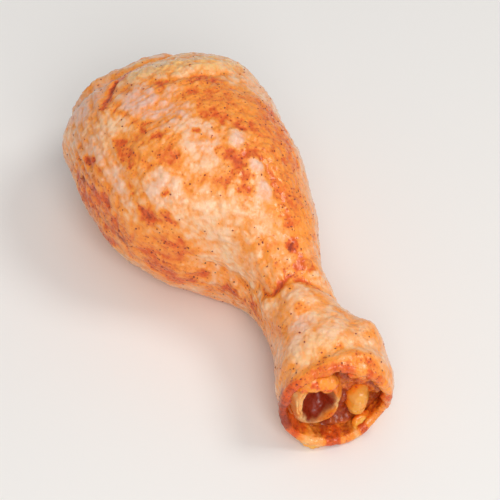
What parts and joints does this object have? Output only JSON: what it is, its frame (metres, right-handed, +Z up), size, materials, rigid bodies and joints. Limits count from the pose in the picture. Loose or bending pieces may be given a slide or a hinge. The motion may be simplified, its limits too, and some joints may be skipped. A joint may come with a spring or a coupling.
{
  "type": "raw chicken drumstick",
  "caption": "Raw, marinated chicken drumstick on its side: skin sleeve, leg meat bulging at the knee end, and shank bone and tendon showing at the cut hock joint.",
  "frame": {"origin": "middle of the flattened underside that the drumstick rests on", "axes": "+Z up, +X along the leg from the thick knee end towards the cut hock joint, -Y towards the fuller flank"},
  "size_m": [0.1215, 0.0567, 0.0459],
  "materials": {
    "skin": "raw poultry skin, pale peach with an orange-red spice rub in its pores and folds, wet and softly glossy",
    "meat": "raw leg meat darkened by marinade, moist and glossy",
    "bone": "bone end with cartilage, pale yellow, marrow hollow stained red-brown",
    "tendon": "cut tendon, yellow, moist"
  },
  "bodies": {
    "root": {"skin": "skin", "meat": "meat", "bone": "bone", "tendon": "tendon"}
  },
  "joints": []
}
